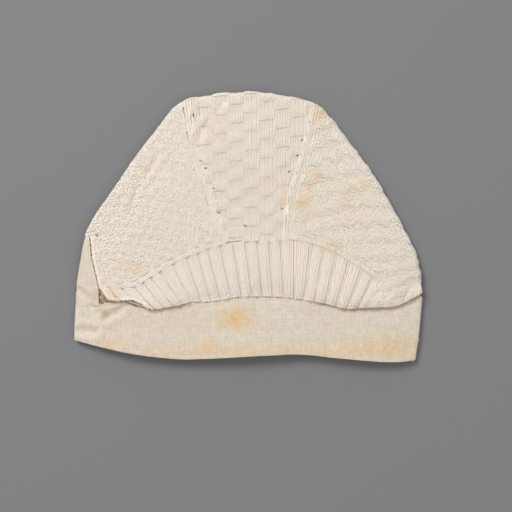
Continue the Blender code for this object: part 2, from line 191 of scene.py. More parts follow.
edge = []
for degree in np.arange(-11, 190.6, 0.5):
    way = Vector((math.cos(math.radians(degree)), math.sin(math.radians(degree)), 0))
    start = Vector((0, -20 * MM, FOLD_RADIUS * MM)) + way * 0.2
    spot = crown_tree.ray_cast(start, -way)[0]
    if spot is not None:
        edge.append((spot.x / MM, spot.y / MM))
edge = np.array([(edge[0][0], -150)] + edge + [(edge[-1][0], -150)])
run = np.concatenate([[0], np.cumsum(np.hypot(*np.diff(edge, axis=0).T))])
steps = np.arange(0, run[-1], 1.0)
edge = np.stack([smoothed(np.interp(steps, run, edge[:, k]), 3) for k in (0, 1)], axis=1)
edge_normal = np.gradient(edge, axis=0)[:, ::-1] * (1, -1)
edge_normal /= np.linalg.norm(edge_normal, axis=1, keepdims=True)

beyond = np.empty(plan_x.shape)            # distance outside the outline, inside is negative
outward_x, outward_y = np.empty(plan_x.shape), np.empty(plan_x.shape)
for j, y in enumerate(grid_y):
    away = np.stack(np.broadcast_arrays(grid_x[:, None] - edge[:, 0], y - edge[:, 1]), axis=-1)
    nearest = np.argmin((away ** 2).sum(-1), axis=1)
    gap = away[np.arange(len(grid_x)), nearest]
    normal = edge_normal[nearest]
    beyond[j] = np.hypot(*gap.T) * np.sign((gap * normal).sum(-1))
    outward_x[j], outward_y[j] = normal.T
shoulder_line = -FOLD_RADIUS * (1 - math.sin(SHOULDER))
print("outline:", round(run[-1] - 200), "mm, highest point:", round(np.nanmax(crown_height), 1), "mm")

# %% [markdown]
# Knitting that has been worn and washed never lies quite flat. A soft unevenness and the few
# creases of the crown go into the height grid, so that the stitches and the ground beneath
# them follow the same surface.

# %% Unevenness and creases


def from_line(x, y, line):
    """Distance from each point to a straight line between two points."""
    x0, y0, x1, y1 = line
    share = ((x - x0) * (x1 - x0) + (y - y0) * (y1 - y0)) / ((x1 - x0) ** 2 + (y1 - y0) ** 2)
    share = np.clip(share, 0, 1)
    return np.hypot(x - x0 - share * (x1 - x0), y - y0 - share * (y1 - y0))


def lumps(x, y, size, seed):
    """Smooth random unevenness from -1 to 1, in lumps of a size in millimetres."""
    values = [noise.noise(Vector((a / size, b / size, seed))) for a, b in zip(x.ravel(), y.ravel())]
    return np.array(values).reshape(x.shape)


top = np.where(beyond < shoulder_line, crown_height, np.nan)
ground = blurred(top, 1.2)
ground = np.where(np.isfinite(ground), ground, blurred(top, 6.0))
form = np.where(np.isfinite(ground), ground, np.nanmedian(ground))
middle_seam = np.clip((46 - np.abs(plan_x - 1)) / 10, 0, 1)
seam_gap = plan_y - np.interp(plan_x, spoke_lines[:, 0], spoke_lines[:, 1])
ground = form - 1.4 * middle_seam * np.exp(-(seam_gap / 9) ** 2)
ground += 0.55 * lumps(plan_x, plan_y, 17, 3.1) + 0.35 * lumps(plan_x, plan_y, 7, 8.4)
for side, points in ((1, LEFT_RIDGE), (-1, RIGHT_RIDGE)):
    off = side * (plan_x - spread(points, plan_y)) - 0.8
    along_ridge = np.clip((plan_y + 14) / 4, 0, 1)
    ground += along_ridge * (0.5 * np.exp(-(off / 1.5) ** 2) - 0.4 * np.exp(-((off - 3.0) / 1.0) ** 2))
for line in CREASES:
    gap = from_line(plan_x, plan_y, line)
    ground += 0.6 * np.exp(-((gap - 4.5) / 2.5) ** 2) - 1.1 * np.exp(-(gap / 2.4) ** 2)
slope_y, slope_x = np.gradient(ground, GRID)
rim = 0.3 * lumps(plan_x, plan_y, 5, 9.9)


def on_cloth(flat, lift):
    """Points in metres for positions on the flattened crown, lifted off its surface in millimetres."""
    x, y = flat[:, 0], flat[:, 1]
    past = sample(beyond, x, y) - shoulder_line
    over = np.maximum(past, 0.0)
    nx, ny = sample(outward_x, x, y), sample(outward_y, x, y)
    base_x, base_y = x - nx * over, y - ny * over
    turn = SHOULDER + over / FOLD_RADIUS
    reach = FOLD_RADIUS * (np.sin(turn) - math.sin(SHOULDER))
    drop = FOLD_RADIUS * (math.cos(SHOULDER) - np.cos(turn))
    z = sample(ground, base_x, base_y)
    sx, sy = sample(slope_x, base_x, base_y), sample(slope_y, base_x, base_y)
    tall = np.stack([-sx, -sy, np.ones_like(x)], axis=1)
    tall /= np.linalg.norm(tall, axis=1, keepdims=True)
    rolled = np.stack([nx * np.sin(turn), ny * np.sin(turn), np.cos(turn)], axis=1)
    share = np.clip(past / 1.5 + 0.5, 0, 1)[:, None]
    lift = lift + share[:, 0] * sample(rim, x, y)
    normal = tall * (1 - share) + rolled * share
    spot = np.stack([base_x + nx * reach * (over > 0), base_y + ny * reach * (over > 0), z - drop], axis=1)
    return (spot + normal * lift[:, None]) * MM


print("ground from", round(ground.min(), 1), "to", round(ground.max(), 1), "mm")

# %% [markdown]
# ## One stitch of each kind
# A knit stitch shows as two slanting legs that make a V, and a purl stitch as two small arcs
# that lie across. Both are short tubes, drawn from a ring that is extruded from point to point.
# A stitch is drawn in millimetres for a cell of the basketweave.

# %% Yarn


def tube(bm, path, radius, sides=4):
    """A tube of yarn through the points of path, closed at both ends."""
    path = [Vector(p) for p in path]
    ring = bmesh.ops.create_circle(bm, segments=sides, radius=radius)["verts"]
    edges = list({e for v in ring for e in v.link_edges})
    facing, place, ends = Vector((0, 0, 1)), Vector(), [edges]
    for k, point in enumerate(path):
        ahead = (path[min(k + 1, len(path) - 1)] - path[max(k - 1, 0)]).normalized()
        if k:
            grown = bmesh.ops.extrude_edge_only(bm, edges=edges)["geom"]
            ring = [g for g in grown if isinstance(g, bmesh.types.BMVert)]
            edges = [g for g in grown if isinstance(g, bmesh.types.BMEdge)
                     and g.verts[0] in ring and g.verts[1] in ring]
        turn = facing.rotation_difference(ahead).to_matrix().to_4x4()
        bmesh.ops.transform(bm, verts=ring, matrix=Matrix.Translation(point) @ turn
                            @ Matrix.Translation(-place))
        facing, place = ahead, point
    for end in (ends[0], edges):
        bmesh.ops.contextual_create(bm, geom=end)


def shape(paths, radius):
    """Corner points and faces of a few tubes, as arrays."""
    bm = bmesh.new()
    for path in paths:
        tube(bm, path, radius)
    bmesh.ops.recalc_face_normals(bm, faces=bm.faces)
    bm.verts.index_update()
    corners = np.array([v.co for v in bm.verts])
    faces = np.array([[v.index for v in f.verts] for f in bm.faces])
    bm.free()
    return corners, faces


W, H = STITCH_WIDTH, ROW_HEIGHT
KNIT = shape([[(side * 0.075 * W, -0.60 * H, -0.17), (side * 0.215 * W, 0.0, 0.22),
               (side * 0.335 * W, 0.62 * H, 0.02)] for side in (-1, 1)], 0.40)
PURL = shape([[(-0.53 * W, -0.30 * H, -0.02), (-0.22 * W, 0.02 * H, 0.27), (0.22 * W, 0.02 * H, 0.27),
               (0.53 * W, -0.30 * H, -0.02)],
              [(-0.53 * W, 0.55 * H, 0.12), (0.0, 0.26 * H, -0.05), (0.53 * W, 0.55 * H, 0.12)]], 0.40)
RIB_KNIT = shape([[(side * 0.10 * W, -0.60 * H, -0.10), (side * 0.24 * W, 0.0, 0.28),
                   (side * 0.37 * W, 0.62 * H, 0.08)] for side in (-1, 1)], 0.45)
for name, kind in (("knit", KNIT), ("purl", PURL), ("rib", RIB_KNIT)):
    print(name, "stitch:", len(kind[1]), "faces")

# %% [markdown]
# ## Finishes
# The yarn is unbleached cotton: an even cream without shine; the ground between the stitches
# is painted a darker cream for the shade there. The linen is greyer and flatter. Old water stains
# run from yellow to orange brown, and each mesh carries how strongly it is stained at each point,
# with painted shade in one crease of the band and partly painted warm shade along the seam beyond its middle.

# %% Colour and finish helpers


def linear(code):
    """A colour for the shader from an sRGB hex code."""
    parts = [int(code[k:k + 2], 16) / 255 for k in (1, 3, 5)]
    return [c / 12.92 if c <= 0.04045 else ((c + 0.055) / 1.055) ** 2.4 for c in parts] + [1.0]


def add(material, kind, settings=(), links=()):
    """One node with its settings, linked from (output, input name) pairs."""
    node = material.node_tree.nodes.new(kind)
    for key, value in dict(settings).items():
        if hasattr(node, key):
            setattr(node, key, value)
        else:
            node.inputs[key].default_value = value
    for source, key in links:
        material.node_tree.links.new(source, node.inputs[key])
    return node


def finish(name, roughness, sheen=0.0):
    """A new material, with its shader."""
    material = bpy.data.materials.new(name)
    material.use_nodes = True
    shader = material.node_tree.nodes["Principled BSDF"]
    shader.inputs["Roughness"].default_value = roughness
    shader.inputs["Specular IOR Level"].default_value = 0.2
    shader.inputs["Sheen Weight"].default_value = sheen
    return material, shader


def mixed(material, first, second, share):
    """Colour first turned to colour second by a share."""
    node = add(material, "ShaderNodeMix", {"data_type": "RGBA"})
    for value, key in ((first, 6), (second, 7), (share, 0)):
        if isinstance(value, bpy.types.NodeSocket):
            material.node_tree.links.new(value, node.inputs[key])
        else:
            node.inputs[key].default_value = value
    return node.outputs[2]


def stained_and_shaded(material, colour, coordinates):
    """The colour with the old stains, and the painted shade held in the same amount, over it: blotchy, browner where
    they are strong.
    """
    amount = add(material, "ShaderNodeAttribute", {"attribute_name": "stain_with_shade"})
    blotch = add(material, "ShaderNodeTexNoise", {"Scale": 330.0, "Detail": 5.0}, [(coordinates, "Vector")])
    uneven = add(material, "ShaderNodeMapRange", {"From Min": 0.35, "From Max": 0.65, "To Min": 0.35,
                                                   "To Max": 1.25}, [(blotch.outputs["Fac"], "Value")])
    share = add(material, "ShaderNodeMath", {"operation": "MULTIPLY", "use_clamp": True})
    material.node_tree.links.new(amount.outputs["Fac"], share.inputs[0])
    material.node_tree.links.new(uneven.outputs["Result"], share.inputs[1])
    return mixed(material, colour, linear("#E2B87A"), share.outputs[0])


# %% [markdown]
# Cotton yarn: the cream varies a little from stitch to stitch and in wide soft patches, and a
# fine grain stands for the fibres, which makes the light break up across each loop.

# %% Cotton yarn
cotton, shader = finish("cotton_yarn", 0.95, 0.15)
place = add(cotton, "ShaderNodeTexCoord").outputs["Object"]
shade = add(cotton, "ShaderNodeAttribute", {"attribute_name": "shade"}).outputs["Fac"]
patches = add(cotton, "ShaderNodeTexNoise", {"Scale": 38.0, "Detail": 3.0}, [(place, "Vector")])
patch_share = add(cotton, "ShaderNodeMapRange", {"From Min": 0.35, "From Max": 0.7},
                  [(patches.outputs["Fac"], "Value")])
cream = mixed(cotton, linear("#E7DFD4"), linear("#DFD5C7"), shade)
cream = mixed(cotton, cream, linear("#E3D8C8"), patch_share.outputs["Result"])
fibre = add(cotton, "ShaderNodeTexNoise", {"Scale": 2600.0, "Detail": 3.0}, [(place, "Vector")])
grain = add(cotton, "ShaderNodeBump", {"Strength": 0.35, "Distance": 0.0002}, [(fibre.outputs["Fac"], "Height")])
cotton.node_tree.links.new(stained_and_shaded(cotton, cream, place), shader.inputs["Base Color"])
cotton.node_tree.links.new(grain.outputs["Normal"], shader.inputs["Normal"])

# %% [markdown]
# The ground is the part of the fabric that lies behind the loops. It shows only in the gaps
# between them and on the underside. It is the same yarn, painted a darker cream for the shade in the gaps, with a
# bumpy grain.

# %% Ground of the knitting
backing_painted_shade, shader = finish("cotton_behind_stitches_painted_shade", 1.0)
place = add(backing_painted_shade, "ShaderNodeTexCoord").outputs["Object"]
cells = add(backing_painted_shade, "ShaderNodeTexVoronoi", {"Scale": 620.0}, [(place, "Vector")])
bumpy = add(backing_painted_shade, "ShaderNodeBump", {"Strength": 0.8, "Distance": 0.0006, "invert": True},
            [(cells.outputs["Distance"], "Height")])
# The darker cream is painted shade for the gaps between the loops.
backing_painted_shade.node_tree.links.new(stained_and_shaded(backing_painted_shade, linear("#D3C6B2"), place), shader.inputs["Base Color"])
backing_painted_shade.node_tree.links.new(bumpy.outputs["Normal"], shader.inputs["Normal"])

# %% [markdown]
# Linen band: a plain weave of uneven hand-spun thread. The real threads are about half a
# millimetre apart; they are drawn a little coarser, so that they don't vanish between pixels.
# Thick places in the threads (slubs) show as short level and upright streaks.

# %% Linen
linen, shader = finish("washed_linen", 0.9, 0.1)
place = add(linen, "ShaderNodeTexCoord").outputs["Object"]
THREAD = 0.8                               # spacing of the drawn threads, millimetres
relief = None
streaks = None
for stretch, band in (((6.0, 1.0, 1.0), "Y"), ((1.0, 6.0, 1.0), "X")):
    along = add(linen, "ShaderNodeMapping", {"Scale": [1 / s for s in stretch]}, [(place, "Vector")])
    slub = add(linen, "ShaderNodeTexNoise", {"Scale": 900.0, "Detail": 2.0}, [(along.outputs[0], "Vector")])
    threads = add(linen, "ShaderNodeTexWave", {"bands_direction": band, "Scale": 0.314 / (THREAD * MM) * 1.0,
                                                "Distortion": 1.5, "Detail": 1.0, "Detail Scale": 0.6},
                  [(place, "Vector")])
    height = add(linen, "ShaderNodeMath", {"operation": "ADD"},
                 [(threads.outputs["Fac"], 0), (slub.outputs["Fac"], 1)]).outputs[0]
    relief = height if relief is None else add(
        linen, "ShaderNodeMath", {"operation": "ADD"}, [(relief, 0), (height, 1)]).outputs[0]
    streaks = slub.outputs["Fac"] if streaks is None else add(
        linen, "ShaderNodeMath", {"operation": "MULTIPLY"}, [(streaks, 0), (slub.outputs["Fac"], 1)]).outputs[0]
streak_share = add(linen, "ShaderNodeMapRange", {"From Min": 0.15, "From Max": 0.38}, [(streaks, "Value")])
flax = mixed(linen, linear("#D6C8B3"), linear("#E4D9C9"), streak_share.outputs["Result"])
woven = add(linen, "ShaderNodeBump", {"Strength": 0.8, "Distance": 0.0004}, [(relief, "Height")])
linen.node_tree.links.new(stained_and_shaded(linen, flax, place), shader.inputs["Base Color"])
linen.node_tree.links.new(woven.outputs["Normal"], shader.inputs["Normal"])

# %% [markdown]
# The inside of the pocket and of the slit beside the flap is painted in shade browns, dark with lighter specks, for
# the shadow inside the cap.

# %% Painted shade inside the pocket
pocket_painted_shade, shader = finish("painted_shade_in_pocket", 1.0)
place = add(pocket_painted_shade, "ShaderNodeTexCoord").outputs["Object"]
specks = add(pocket_painted_shade, "ShaderNodeTexNoise", {"Scale": 420.0, "Detail": 4.0}, [(place, "Vector")])
speck_share = add(pocket_painted_shade, "ShaderNodeMapRange", {"From Min": 0.35, "From Max": 0.65},
                  [(specks.outputs["Fac"], "Value")])
pocket_shade_brown = mixed(pocket_painted_shade, linear("#7A6248"), linear("#B39A7B"), speck_share.outputs["Result"])
pocket_painted_shade.node_tree.links.new(pocket_shade_brown, shader.inputs["Base Color"])

# %% Shadow in the eyelets
# Inside the eyelets and the needle holes nothing is seen but the shadow of the cap's inside, painted dark brown grey.
shadow, shader = finish("painted_shadow_in_holes", 1.0)
shader.inputs["Base Color"].default_value = linear("#3A342C")
print("finishes:", [m.name for m in bpy.data.materials])

# %% [markdown]
# ## Laying the stitches
# A piece of knitting is one joined mesh: the stitch of its kind is copied to each cell of the
# chart, stretched to the cell and pressed onto the form. Small random shifts keep it handmade.

# %% Stitch laying


def stain_with_shade_at(x, y):
    """How strongly the cloth is stained at each point, in millimetres, with painted shade in one band crease and
    along the seam beyond its middle.
    """
    strength = np.zeros_like(x)
    for sx, sy, rx, ry, full in STAINS_AND_SHADE:
        strength += full * np.exp(-((x - sx) / rx) ** 2 - ((y - sy) / ry) ** 2)
    seam_gap = np.abs(y - np.interp(x, spoke_lines[:, 0], spoke_lines[:, 1]))
    # Beyond the middle the seam is browner: partly a yellowed seam, partly painted warm shade under the overhanging
    # knitting.
    return np.clip(strength + 0.3 * np.exp(-(seam_gap / 1.5) ** 2) * (np.abs(x) > 45), 0, 1)


def joined(name, corners, faces, material, shades=None):
    """One object from arrays of corner points in metres and four-cornered faces."""
    mesh = bpy.data.meshes.new(name)
    mesh.vertices.add(len(corners))
    mesh.vertices.foreach_set("co", corners.astype(np.float32).ravel())
    mesh.loops.add(faces.size)
    mesh.loops.foreach_set("vertex_index", faces.astype(np.int32).ravel())
    mesh.polygons.add(len(faces))
    mesh.polygons.foreach_set("loop_start", np.arange(0, faces.size, faces.shape[1], dtype=np.int32))
    mesh.polygons.foreach_set("use_smooth", np.ones(len(faces), dtype=bool))
    mesh.update(calc_edges=True)
    mark(mesh, shades)
    mesh.materials.append(material)
    piece = bpy.data.objects.new(name, mesh)
    bpy.context.scene.collection.objects.link(piece)
    return piece


def mark(mesh, shades=None):
    """Stores the stains with their painted shade, and the random tone of each stitch, at the points of a mesh."""
    corners = np.empty(len(mesh.vertices) * 3, dtype=np.float32)
    mesh.vertices.foreach_get("co", corners)
    corners = corners.reshape(-1, 3) / MM
    stain_with_shade = mesh.attributes.new("stain_with_shade", "FLOAT", "POINT")
    stain_with_shade.data.foreach_set("value", stain_with_shade_at(corners[:, 0], corners[:, 1]).astype(np.float32))
    if shades is not None:
        shade = mesh.attributes.new("shade", "FLOAT", "POINT")
        shade.data.foreach_set("value", shades.astype(np.float32))


def laid(kind, cells):
    """Corners, faces and shades of one kind of stitch, copied to cells of (middle, across, along, lift)."""
    corners, faces = kind
    count = len(cells)
    middle, across, along, lift = cells[:, 0:2], cells[:, 2:4], cells[:, 4:6], cells[:, 6]
    middle = middle + rng.normal(0, 0.07, (count, 2))
    lift = lift + rng.normal(0, 0.06, count)
    flat = (middle[:, None] + corners[None, :, 0:1] / W * across[:, None]
            + corners[None, :, 1:2] / H * along[:, None]).reshape(-1, 2)
    lifts = (lift[:, None] + corners[None, :, 2]).ravel()
    shades = np.repeat(rng.uniform(0, 1, count), len(corners))
    all_faces = (faces[None] + np.arange(count)[:, None, None] * len(corners)).reshape(-1, 4)
    return on_cloth(flat, lifts), all_faces, shades


def knitted(name, cells, purl, knit=KNIT):
    """A joined piece of knitting from the cells of a chart, with purl stitches where purl is true."""
    parts = [laid(kind, cells[pick]) for kind, pick in ((knit, ~purl), (PURL, purl)) if pick.any()]
    offset, faces = 0, []
    for corners, part_faces, _ in parts:
        faces.append(part_faces + offset)
        offset += len(corners)
    piece = joined(name, np.concatenate([p[0] for p in parts]), np.concatenate(faces), cotton,
                   np.concatenate([p[2] for p in parts]))
    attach(piece, "root")
    print(name, len(cells), "stitches,", 2 * len(piece.data.polygons), "triangles")
    return piece


# %% [markdown]
# ## Panels of the crown
# The crown is worked outward from the ribs. In the side panels the columns fan out and lean
# away from the middle; in the middle panel they stand upright and new columns start at the
# ridges. The chart is a basketweave, blocks of knit and purl that change places like a
# chessboard. The raised purl blocks throw a thin shadow below them.

# %% Charts
BLOCK_WIDTH, BLOCK_ROWS = 6, 5


def fan(first, last, at):
    """Cells of columns that fan out beyond the ribs, evenly wide at a distance from the ridge."""
    ribs = np.linspace(first, last, 800)
    _, tops, leans = spoke(ribs)
    way = tops + leans * at
    step = np.diff(way, axis=0)
    middle = (leans[1:] + leans[:-1]) / 2
    width = np.concatenate([[0], np.cumsum(step[:, 0] * middle[:, 1] - step[:, 1] * middle[:, 0])])
    count = int(round(width[-1] / W))
    borders = np.interp(np.linspace(0, width[-1], count + 1), width, ribs)
    columns, rows = np.meshgrid(np.arange(count), np.arange(110))
    distance = (rows + 0.5) * H
    _, top_a, lean_a = spoke(borders[columns])
    _, top_b, lean_b = spoke(borders[columns + 1])
    left = top_a + lean_a * distance[..., None]
    right = top_b + lean_b * distance[..., None]
    along = (lean_a + lean_b) / 2 * H
    return columns.ravel(), rows.ravel(), np.concatenate(
        [(left + right) / 2, right - left, along, np.zeros(left.shape[:2] + (1,))], axis=-1).reshape(-1, 7)


def inside(corners, x, y):
    """True for the points inside a polygon."""
    odd = np.zeros(x.shape, dtype=bool)
    for (x0, y0), (x1, y1) in zip(corners, corners[1:] + corners[:1]):
        crossing = (y0 > y) != (y1 > y)
        odd ^= crossing & (x < x0 + (y - y0) * (x1 - x0) / (y1 - y0 if y1 != y0 else 1e-9))
    return odd


def kept(cells, also):
    """True for the cells on the top or the fold, clear of the eyelets, where also is true."""
    x, y = cells[:, 0], cells[:, 1]
    past = sample(beyond, x, y) - shoulder_line
    on = (past < FOLD_RADIUS * (WRAP - SHOULDER)) & (np.abs(x) < 142) & (y < 112) & also
    for ex, ey in EYELETS:
        on &= np.hypot(x - ex, y - ey) > 0.95
    return on & ~inside(POCKET, x, y)


def relief_of(purl, columns, rows):
    """Lift of each stitch: purl blocks stand out like low pillows."""
    a = (columns % BLOCK_WIDTH + 0.5) / BLOCK_WIDTH
    b = (rows % BLOCK_ROWS + 0.5) / BLOCK_ROWS
    return np.where(purl, 0.14 + 0.38 * np.sin(math.pi * a) ** 0.5 * np.sin(math.pi * b) ** 0.5, -0.05)


ridge_gap = 3.0                            # half the width of a ridge, millimetres

columns, rows, cells = fan(18.5, 30, 32)
x, y = cells[:, 0], cells[:, 1]
ridge = (rows < 2) & (x < 98)
blocks = (columns // BLOCK_WIDTH + rows // BLOCK_ROWS) % 2 == 0
cells[:, 6] = np.where(ridge, 0.42, 1.2 * relief_of(blocks, columns, rows)) - 0.35 * (rows == 2) * (x < 98)
purl = (blocks ^ (rng.uniform(0, 1, len(rows)) < 0.3)) | ridge
on = kept(cells, (x > spread(RIGHT_RIDGE, y) + ridge_gap) | (y < -9))
knitted("panel_right", cells[on], purl[on])

columns, rows, cells = fan(1.2, 13.5, 30)
x, y = cells[:, 0], cells[:, 1]
ridge = (rows < 2) & (x > -104)
blocks = (columns // 3 + rows // 3) % 2 == 0
cells[:, 6] = np.where(ridge, 0.35, np.where(blocks, 0.2, 0.0)) - 0.3 * (rows == 2)
purl = (blocks ^ (rng.uniform(0, 1, len(rows)) < 0.25)) | ridge
on = kept(cells, ((x < spread(LEFT_RIDGE, y) - ridge_gap) | (y < -12)) & ((x > spread(FLAP_EDGE, y) + 1.5) | (y > -6.5)))
knitted("panel_left", cells[on], purl[on])

rise = math.tan(math.radians(5.5))
columns, rows = np.meshgrid(np.arange(56), np.arange(90))
columns, rows = columns.ravel(), rows.ravel()
x = -50 + (columns + 0.5) * W
y = -14 + (rows + 0.5) * H + rise * x
cells = np.stack([x, y, np.full(x.shape, W), np.full(x.shape, W * rise), 0 * x, np.full(x.shape, H), 0 * x], axis=1)
purl = (columns // BLOCK_WIDTH + rows // BLOCK_ROWS) % 2 == 0
cells[:, 6] = relief_of(purl, columns, rows)
on = kept(cells, (x > spread(LEFT_RIDGE, y) + 0.8) & (x < spread(RIGHT_RIDGE, y) - 1.2) & (y > -11))
knitted("panel_middle", cells[on], purl[on])

# %% [markdown]
# ## Ridges
# Either side of the middle panel three columns of knit stitches stand up as a ridge. The new
# stitches start beside it, and some of them leave an eyelet.

# %% Ridges beside the middle panel


def along_line(points, columns, lift):
    """Cells of a few columns of knit stitches that follow a line of landmarks upward."""
    line = np.array(sorted(points, key=lambda p: p[1]), dtype=float)
    run = np.concatenate([[0], np.cumsum(np.hypot(*np.diff(line, axis=0).T))])
    at = np.arange(0.5 * H, run[-1] + 12, H)
    fine = np.arange(0, run[-1], 2.0)
    x, y = (smoothed(np.interp(fine, run, line[:, k]), 3) for k in (0, 1))
    way = np.array([np.polyval(np.polyfit(fine[-6:], v[-6:], 1), at) * (at > fine[-1])
                    + np.interp(at, fine, v) * (at <= fine[-1]) for v in (x, y)]).T
    along = np.gradient(way, axis=0)
    along *= H / np.linalg.norm(along, axis=1, keepdims=True)
    across = along[:, ::-1] * (1, -1) * W / H
    cells = [np.column_stack([way + across * offset, across, along, np.full(len(way), lift + extra)])
             for offset, extra in columns]
    return np.concatenate(cells)


beside_tuck = [(x + 2.1, y) for x, y in FLAP_EDGE if y > -50]
edge_cells = along_line(beside_tuck, ((0, 0.0),), 0.3)
edge_cells = edge_cells[edge_cells[:, 1] < -7]
pocket_rim = [(x + 0.8, y + 1.6) for x, y in POCKET[1:9]]
run = np.linspace(0, len(pocket_rim) - 1, 34)
rim_x, rim_y = (np.interp(run, range(len(pocket_rim)), [p[k] for p in pocket_rim]) for k in (0, 1))
way = np.gradient(np.column_stack([rim_x, rim_y]), axis=0)
way /= np.linalg.norm(way, axis=1, keepdims=True)
rim_cells = np.column_stack([rim_x, rim_y, way[:, ::-1] * (W, -W), way * H, np.full(34, 0.35)])
edges = np.concatenate([edge_cells, rim_cells])
knitted("tuck_edges", edges, np.zeros(len(edges), dtype=bool), RIB_KNIT)
cells = np.concatenate([along_line(LEFT_RIDGE, ((-1, 0.1), (0, 0.4), (1, -0.4)), 0.25),
                        along_line(RIGHT_RIDGE, ((-1.2, -0.5), (-0.2, 0.0), (0.8, 0.3), (1.8, 0.0)), 0.35)])
on = kept(cells, cells[:, 1] > -12)
knitted("ridges", cells[on], np.zeros(on.sum(), dtype=bool))

# %% [markdown]
# ## Ribs
# The front edge is ribbed, three knit columns to one purl column, so that it grips. Each rib is
# narrow at the seam and opens toward the purl ridge. The purl column sinks between its
# neighbours and shows as a dark groove.

# %% Ribs
cells, purl = [], []
for column in range(int(4 * (30 - 1.9))):
    rib = 1.9 + (column + 0.5) / 4
    seam_a, top_a, _ = spoke(rib - 0.125)
    seam_b, top_b, _ = spoke(rib + 0.125)
    length = np.linalg.norm((top_a + top_b - seam_a - seam_b) / 2)
    count = max(3, int(round(length / H)))
    share = ((np.arange(count) + 0.5) / count)[:, None]
    left, right = seam_a + (top_a - seam_a) * share, seam_b + (top_b - seam_b) * share
    along = np.repeat([(top_a + top_b - seam_a - seam_b) / 2 / count], count, axis=0)
    if 2.9 < rib < 25.9:
        beside = int(round(rib * 4 - 0.5)) % 4      # 0 is the purl column of the rib, 2 the middle of the knit ones
        deep = float(np.interp(rib, (3, 6, 8, 16, 19, 29), (1, 0.9, 0.85, 0.85, 0.7, 0.4)))
        kind, lift = np.full(count, beside == 0), np.full(count, (-0.3 - 0.5 * deep, 0.03, 0.33, 0.03)[beside])
    else:
        rows = np.arange(count)
        kind = (column // BLOCK_WIDTH + rows // BLOCK_ROWS) % 2 == 0
        lift = relief_of(kind, column, rows)
    lift = lift - 0.3 * (share[:, 0] > 1 - 1.2 / count) * (15 < rib < 25.9)
    cells.append(np.column_stack([(left + right) / 2, right - left, along, lift]))
    purl += list(kind)
cells, purl = np.concatenate(cells), np.array(purl)
on = kept(cells, cells[:, 0] > spread(FLAP_EDGE, cells[:, 1]) + 1.5)
knitted("ribs", cells[on], purl[on], RIB_KNIT)

# %% [markdown]
# ## Ground of the crown
# Behind the loops lies the closed fabric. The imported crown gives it: a merged copy is divided,
# smoothed and drawn in by half a millimetre, so that the stitches stand on it.

# %% Ground piece


def smooth_copy(name, node, cuts, rounds, material):
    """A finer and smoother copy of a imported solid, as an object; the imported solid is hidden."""
    bm = merged(node)
    bmesh.ops.subdivide_edges(bm, edges=bm.edges, cuts=cuts, use_grid_fill=True)
    for _ in range(rounds):
        bmesh.ops.smooth_vert(bm, verts=bm.verts, factor=0.4, use_axis_x=True, use_axis_y=True, use_axis_z=True)
    bmesh.ops.recalc_face_normals(bm, faces=bm.faces)
    mesh = bpy.data.meshes.new(name)
    bm.to_mesh(mesh)
    bm.free()
    mesh.shade_smooth()
    mesh.materials.append(material)
    piece = bpy.data.objects.new(name, mesh)
    bpy.context.scene.collection.objects.link(piece)
    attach(piece, "root")
    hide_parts(node)
    return piece


def corners_of(mesh):
    """Corner points in millimetres and normals of a mesh."""
    points, normals = (np.empty(len(mesh.vertices) * 3, dtype=np.float32) for _ in range(2))
    mesh.vertices.foreach_get("co", points)
    mesh.vertices.foreach_get("normal", normals)
    return points.reshape(-1, 3).astype(float) / MM, normals.reshape(-1, 3).astype(float)


def reshaped(mesh, points):
    """Moves the corner points of a mesh to new places in millimetres."""
    mesh.vertices.foreach_set("co", (points * MM).astype(np.float32).ravel())
    mesh.update()


crown = smooth_copy("crown_ground", "knitted_crown", 1, 2, backing_painted_shade)
points, normals = corners_of(crown.data)
level = sample(ground, points[:, 0], points[:, 1])
on_top = (normals[:, 2] > 0.3) & (np.abs(points[:, 2] - sample(form, points[:, 0], points[:, 1])) < 1.6)
on_top &= sample(beyond, points[:, 0], points[:, 1]) < shoulder_line
points -= normals * 0.45
points[on_top, 2] = level[on_top] - 0.8
by_seam = (np.abs(points[:, 0]) < 62) & (points[:, 1] < -42) & (points[:, 2] > 5)
points[by_seam, 2] = np.fmin(points[by_seam, 2], level[by_seam] - 1.2)
lining = (normals[:, 2] < -0.3) & (points[:, 2] > 4)
points[lining, 2] = np.fmin(points[lining, 2], level[lining] - 1.8)
reshaped(crown.data, points)
mark(crown.data)
print("crown_ground:", len(crown.data.vertices), "points")

# %% [markdown]
# ## Eyelets
# An eyelet is a hole where a new stitch begins. The stitches leave a small ring round a cup painted in the dark
# colour of its shadow.

# %% Eyelets
# Each cup is a dark sheet of painted shadow in its hole.
bm = bmesh.new()
for ex, ey in EYELETS:
    spot = on_cloth(np.array([[ex, ey]]), np.array([0.15]))[0]
    hole = bmesh.ops.create_cone(bm, cap_ends=True, segments=10, radius1=0.36 * MM, radius2=0.45 * MM,
                                 depth=0.5 * MM, matrix=Matrix.Translation(spot))
bmesh.ops.recalc_face_normals(bm, faces=bm.faces)
mesh = bpy.data.meshes.new("eyelets")
bm.to_mesh(mesh)
bm.free()
mesh.materials.append(shadow)
eyelets = bpy.data.objects.new("eyelets", mesh)
bpy.context.scene.collection.objects.link(eyelets)
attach(eyelets, "root")
print("eyelets:", len(EYELETS))

# %% [markdown]
# ## Linen band
# The band is a strip of linen folded double at the mouth and sewn on at the seam. It lies
# slightly wavy, with one deep fold at the left where the flap pulls it.

# %% Band


def creased(x, y):
    """Height added by the creases of the linen, a valley each with a low rise on both sides."""
    change = 0 * x
    for line in BAND_CREASES:
        distance = from_line(x, y, line)
        change += 0.9 * np.exp(-((distance - 5.0) / 2.6) ** 2) - 1.6 * np.exp(-(distance / 2.6) ** 2)
    return change


